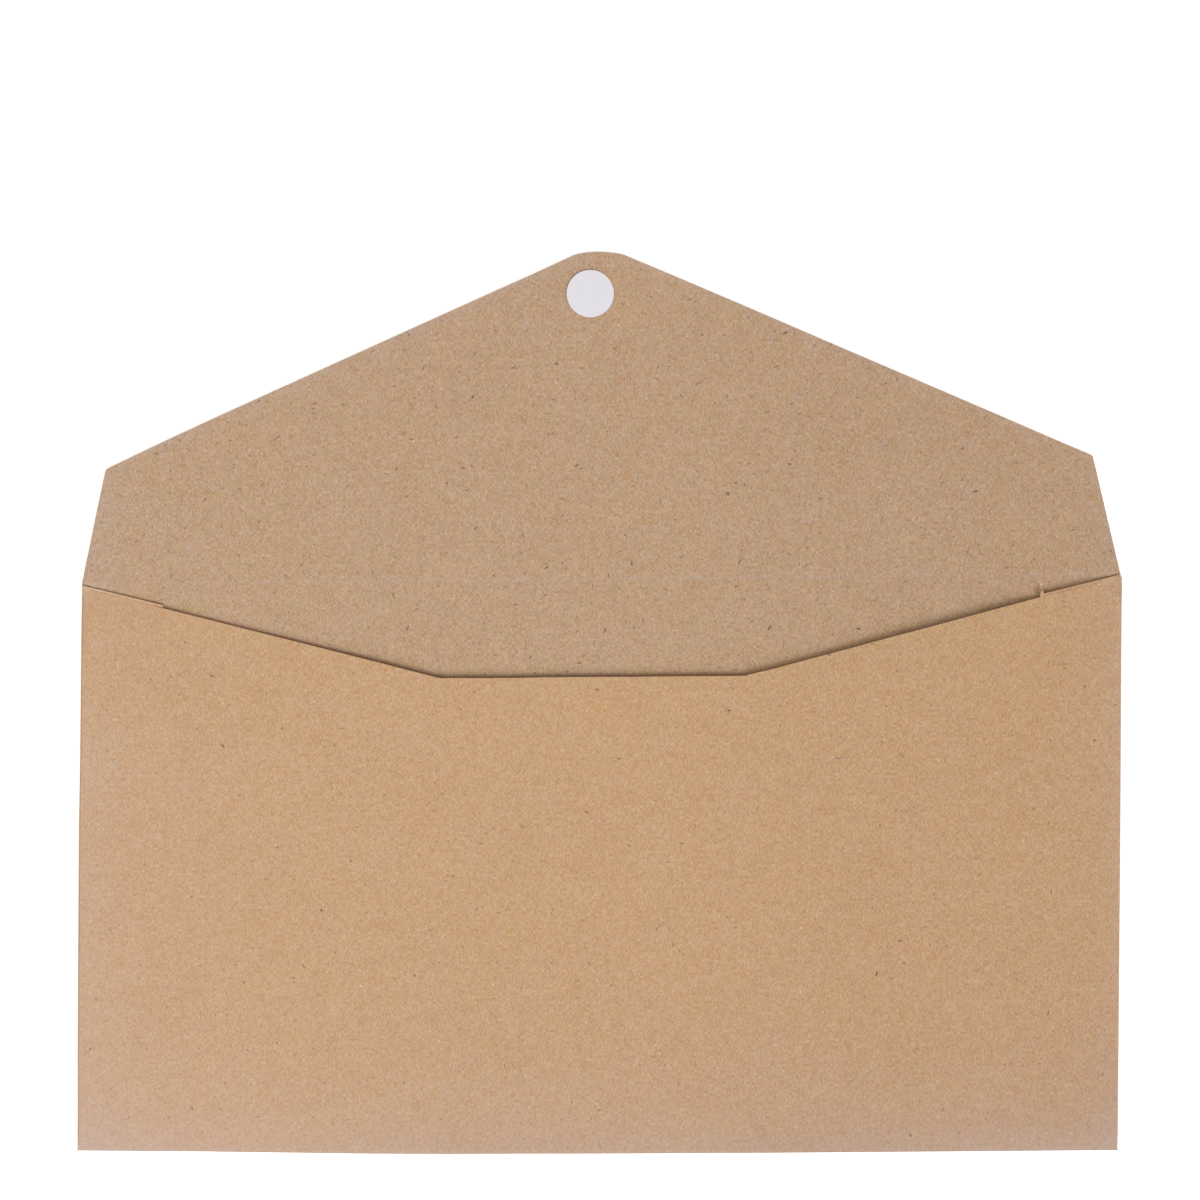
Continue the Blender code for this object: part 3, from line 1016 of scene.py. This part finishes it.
LIGHT_FIBRES = [
    (2.2, 0.30, 0.20, 3.1, 0.14, (0.80, 0.70, 0.56), 0.43),
    (6.0, 0.30, 0.22, 3.1, 0.07, (0.90, 0.86, 0.80), 0.55),
    (3.1, 1.10, 0.10, 1.8, 0.08, (0.72, 0.60, 0.44), 0.28),
]
RARE_FIBRES = [
    (17.0, 0.30, 0.24, 6.3, 0.16, (0.60, 0.09, 0.07), 0.7),
    (23.0, 0.45, 0.20, 6.3, 0.16, (0.10, 0.14, 0.34), 0.6),
]
CUT_ROUGHNESS = 0.9
CUT_SPECULAR = 0.2
CUT_LAYERS = (1000.0, 1000.0, 9000.0)  # scale of the noise, which is drawn out along the layers
CUT_NOISE = 1.6
CUT_DARK = (0.36, 0.22, 0.125, 1.0)
CUT_PALE = (0.50, 0.34, 0.21, 1.0)
FINE_DETAIL = 2.0
SPECKLED_BUMP = 0.3
SPECKLED = {  # roughness, specular level, two colours, scale of the noise, height of the bumps
    "dried_glue": (0.4, 0.4, (0.50, 0.36, 0.18), (0.66, 0.50, 0.30), 900.0, 0.02 * MM),
    "clear_adhesive": (0.3, 0.5, (0.55, 0.52, 0.46), (0.66, 0.63, 0.57), 700.0, 0.01 * MM),
    "release_paper": (0.5, 0.4, (0.694, 0.682, 0.712), (0.720, 0.708, 0.736), 1500.0, 0.004 * MM),
    "torn_paper": (0.9, 0.1, (0.40, 0.27, 0.17), (0.58, 0.42, 0.28), 2600.0, 0.03 * MM),
    "torn_fibre_tip": (0.9, 0.1, (0.56, 0.44, 0.31), (0.66, 0.54, 0.40), 2600.0, 0.02 * MM),
}


def new_material(name, roughness, specular):
    material = bpy.data.materials.new(name)
    material.use_nodes = True
    shader = material.node_tree.nodes["Principled BSDF"]
    shader.inputs["Roughness"].default_value = roughness
    shader.inputs["Specular IOR Level"].default_value = specular
    return material, material.node_tree, shader


def card_layer(tree, name, output="Fac"):
    """One of the values that the points of a sheet carry."""
    return add(tree, "ShaderNodeAttribute", attribute_name=name).outputs[output]


def mottled_tint(tree, place, rub, dull, grain):
    """How the grain and the painted shade change each of the card's three colours, and the grain's relief."""
    # Painted shade darkens all three colours
    whole = maths(tree, "SUBTRACT", 1.0, dull)
    calm = maths(tree, "MULTIPLY_ADD", maths(tree, "MINIMUM", rub, 1.0), -PALING_AND_SHEEN_CALM, 1.0)
    parts = [0.0, 0.0, 0.0]
    relief = None
    for k, (layers, tints) in enumerate(MOTTLING):
        layer = mottles(tree, place, layers, grain, MOTTLING_OFFSET * k)
        relief = relief or layer
        parts = [maths(tree, "MULTIPLY_ADD", layer, tint, part) for tint, part in zip(tints, parts)]
    parts = [maths(tree, "MULTIPLY_ADD", part, calm, whole) for part in parts]
    return add(tree, "ShaderNodeCombineXYZ", dict(enumerate(parts))).outputs[0], relief


def scatter_fibres(tree, place, card, darker, lighter):
    """Lays light, dark and a few coloured fibres over the card's colour."""
    warp = mottle(tree, place, *WARP)
    aside = add(tree, "ShaderNodeCombineXYZ", {"X": warp, "Y": warp}).outputs[0]
    bent = vector_maths(tree, "ADD", place, aside)
    for looks, more in ((LIGHT_FIBRES, lighter), (DARK_FIBRES, darker), (RARE_FIBRES, 1.0)):
        for cell, length, width, turn, share, stain, strength in looks:
            mask = fibres(tree, bent, cell, length, width, turn, min(1.0, share * more))
            card = blend_colours(tree, maths(tree, "MULTIPLY", mask, strength), card, (*stain, 1.0))
    return card


def kraft_material(name, colour, grain, darker, lighter):
    """Kraft card: fine upright mottling, drifting hue, and scattered dark and light fibres.

    grain is the mottling's strength, and darker and lighter are the numbers of dark and light
    fibres, where 1 is as on the card's outside.
    """
    material, tree, shader = new_material(name, KRAFT_ROUGHNESS, KRAFT_SPECULAR)
    place = card_layer(tree, "card_place", "Vector")
    rub = card_layer(tree, "rub")
    dull = card_layer(tree, "dull")
    mottled, relief = mottled_tint(tree, place, rub, dull, grain)
    # Blends in the paler, cooler colour, which on the front and side folds is painted reflection
    tint = blend_colours(tree, rub, (1.0, 1.0, 1.0, 1.0), (*PALING_AND_SHEEN_TINT, 1.0))
    card = vector_maths(tree, "MULTIPLY", tint, colour)
    card = vector_maths(tree, "MULTIPLY", card, mottled)
    card = scatter_fibres(tree, place, card, darker, lighter)
    tree.links.new(card, shader.inputs["Base Color"])
    relief_inputs = {"Strength": KRAFT_BUMP, "Distance": KRAFT_RELIEF, "Height": relief}
    bump = add(tree, "ShaderNodeBump", relief_inputs)
    tree.links.new(bump.outputs[0], shader.inputs["Normal"])
    return material


def edge_material():
    """The cut edge, where the card's layers show as a paler, streaky band."""
    material, tree, shader = new_material("kraft_cut_edge", CUT_ROUGHNESS, CUT_SPECULAR)
    place = add(tree, "ShaderNodeTexCoord").outputs["Object"]
    scaled = vector_maths(tree, "MULTIPLY", place, CUT_LAYERS)
    noise = add(tree, "ShaderNodeTexNoise", {"Vector": scaled, "Scale": CUT_NOISE, "Detail": FINE_DETAIL})
    colour = blend_colours(tree, noise.outputs["Fac"], CUT_DARK, CUT_PALE)
    tree.links.new(colour, shader.inputs["Base Color"])
    return material


def speckled_material(name):
    """A plain finish with faint unevenness between two colours."""
    roughness, specular, low, high, scale, bump_height = SPECKLED[name]
    material, tree, shader = new_material(name, roughness, specular)
    place = add(tree, "ShaderNodeTexCoord").outputs["Object"]
    noise = add(tree, "ShaderNodeTexNoise", {"Vector": place, "Scale": scale, "Detail": FINE_DETAIL})
    height = noise.outputs["Fac"]
    colour = blend_colours(tree, height, (*low, 1.0), (*high, 1.0))
    tree.links.new(colour, shader.inputs["Base Color"])
    bump_inputs = {"Strength": SPECKLED_BUMP, "Distance": bump_height, "Height": height}
    bump = add(tree, "ShaderNodeBump", bump_inputs)
    tree.links.new(bump.outputs[0], shader.inputs["Normal"])
    return material


def pale_material(name, glow):
    """White with a glow of its own, for the stage."""
    material, _, shader = new_material(name, STAGE_ROUGHNESS, STAGE_SPECULAR)
    shader.inputs["Base Color"].default_value = (STAGE_WHITE, STAGE_WHITE, STAGE_WHITE, 1.0)
    shader.inputs["Emission Color"].default_value = (1.0, 1.0, 1.0, 1.0)
    shader.inputs["Emission Strength"].default_value = glow
    return material


# Stage, lights and camera


def build_floor():
    shape = bmesh.new()
    bmesh.ops.create_grid(shape, x_segments=1, y_segments=1, size=FLOOR_HALF)
    bmesh.ops.translate(shape, vec=(0, 0, FLOOR_HEIGHT), verts=shape.verts)
    floor = finish_mesh("floor", shape)
    dress(floor, pale_material("pale_floor", FLOOR_GLOW))


def build_backdrop():
    """A low round wall far off, which adds no light and casts no shadow."""
    shape = bmesh.new()
    bmesh.ops.create_cone(
        shape,
        segments=BACKDROP_SIDES,
        radius1=BACKDROP_RADIUS,
        radius2=BACKDROP_RADIUS,
        depth=BACKDROP_HEIGHT,
    )
    bmesh.ops.translate(shape, vec=(0, 0, FLOOR_HEIGHT + BACKDROP_HEIGHT / 2), verts=shape.verts)
    backdrop = finish_mesh("backdrop", shape)
    dress(backdrop, pale_material("pale_backdrop", BACKDROP_GLOW))
    backdrop.visible_diffuse = False
    backdrop.visible_glossy = False
    backdrop.visible_shadow = False


def hang_light(light, away, place):
    """Puts a light at a place, shining against the direction away."""
    holder = bpy.data.objects.new(light.name, light)
    holder.location = place
    holder.rotation_euler = away.to_track_quat("Z", "Y").to_euler()
    bpy.context.scene.collection.objects.link(holder)


def build_lights():
    key = bpy.data.lights.new("key", "SUN")
    key.energy = KEY_STRENGTH
    key.color = KEY_COLOUR
    key.angle = KEY_SPREAD
    away = Vector((
        math.sin(KEY_AZIMUTH) * math.cos(KEY_HEIGHT),
        -math.cos(KEY_AZIMUTH) * math.cos(KEY_HEIGHT),
        math.sin(KEY_HEIGHT),
    ))
    hang_light(key, away, Vector((0, 0, 0)))
    fill = bpy.data.lights.new("fill", "AREA")
    fill.energy = FILL_POWER
    fill.color = FILL_COLOUR
    fill.size = FILL_SIZE
    hang_light(fill, FILL_PLACE, FILL_PLACE)
    world = bpy.data.worlds.new("pale_room")
    world.use_nodes = True
    back = world.node_tree.nodes["Background"]
    back.inputs["Color"].default_value = (*WORLD_COLOUR, 1.0)
    back.inputs["Strength"].default_value = WORLD_STRENGTH
    bpy.context.scene.world = world


def build_camera():
    """Looks straight down on the envelope, but for a small tilt and roll."""
    camera = bpy.data.cameras.new("camera")
    camera.lens = CAMERA_LENS
    camera.sensor_width = CAMERA_SENSOR
    camera.clip_start = CAMERA_CLIP
    holder = bpy.data.objects.new("camera", camera)
    tilt = Matrix.Rotation(CAMERA_TILT, 4, "X")
    roll = Matrix.Rotation(CAMERA_ROLL, 4, "Z")
    holder.matrix_world = Matrix.Translation(CAMERA_PLACE) @ tilt @ roll
    bpy.context.scene.collection.objects.link(holder)
    bpy.context.scene.camera = holder
    bpy.context.scene.view_settings.view_transform = "Standard"


build_camera()
build_floor()
build_backdrop()
build_lights()

outside = kraft_material("kraft_outside", OUTER_COLOUR, grain=1.0, darker=1.0, lighter=1.0)
inside = kraft_material("kraft_inside", INNER_COLOUR, grain=1.11, darker=3.1, lighter=0.9)
cut_edge = edge_material()
glue = speckled_material("dried_glue")
film = speckled_material("clear_adhesive")
liner = speckled_material("release_paper")
torn = speckled_material("torn_paper")
torn_tip = speckled_material("torn_fibre_tip")

for sheet, slot in (
    (build_rear(), "kraft_card"),
    (build_front(), "kraft_card"),
    (build_tab("left", -1), "kraft_card"),
    (build_tab("right", 1), "kraft_card"),
):
    dress(sheet, outside, inside, cut_edge)
    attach(sheet, "pocket")

flap = build_flap()
dress(flap, outside, inside, cut_edge)
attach(flap, "flap")

crease = build_crease()
dress(crease, outside, inside, cut_edge)
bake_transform(crease)

flake = build_torn()
dress(flake, torn, torn_tip)
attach(flake, "pocket")

film_disc = build_disc("adhesive_film_disc", film_low, film_high)
dress(film_disc, film)
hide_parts("adhesive_dot")
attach(film_disc, "flap")

liner_disc = build_disc("release_paper_disc", liner_low, liner_high)
dress(liner_disc, liner)
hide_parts("dot_liner")
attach(liner_disc, "liner")

for word in ("left", "right"):
    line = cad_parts["glue_line_" + word]
    for place in line.material_slots:
        place.material = glue
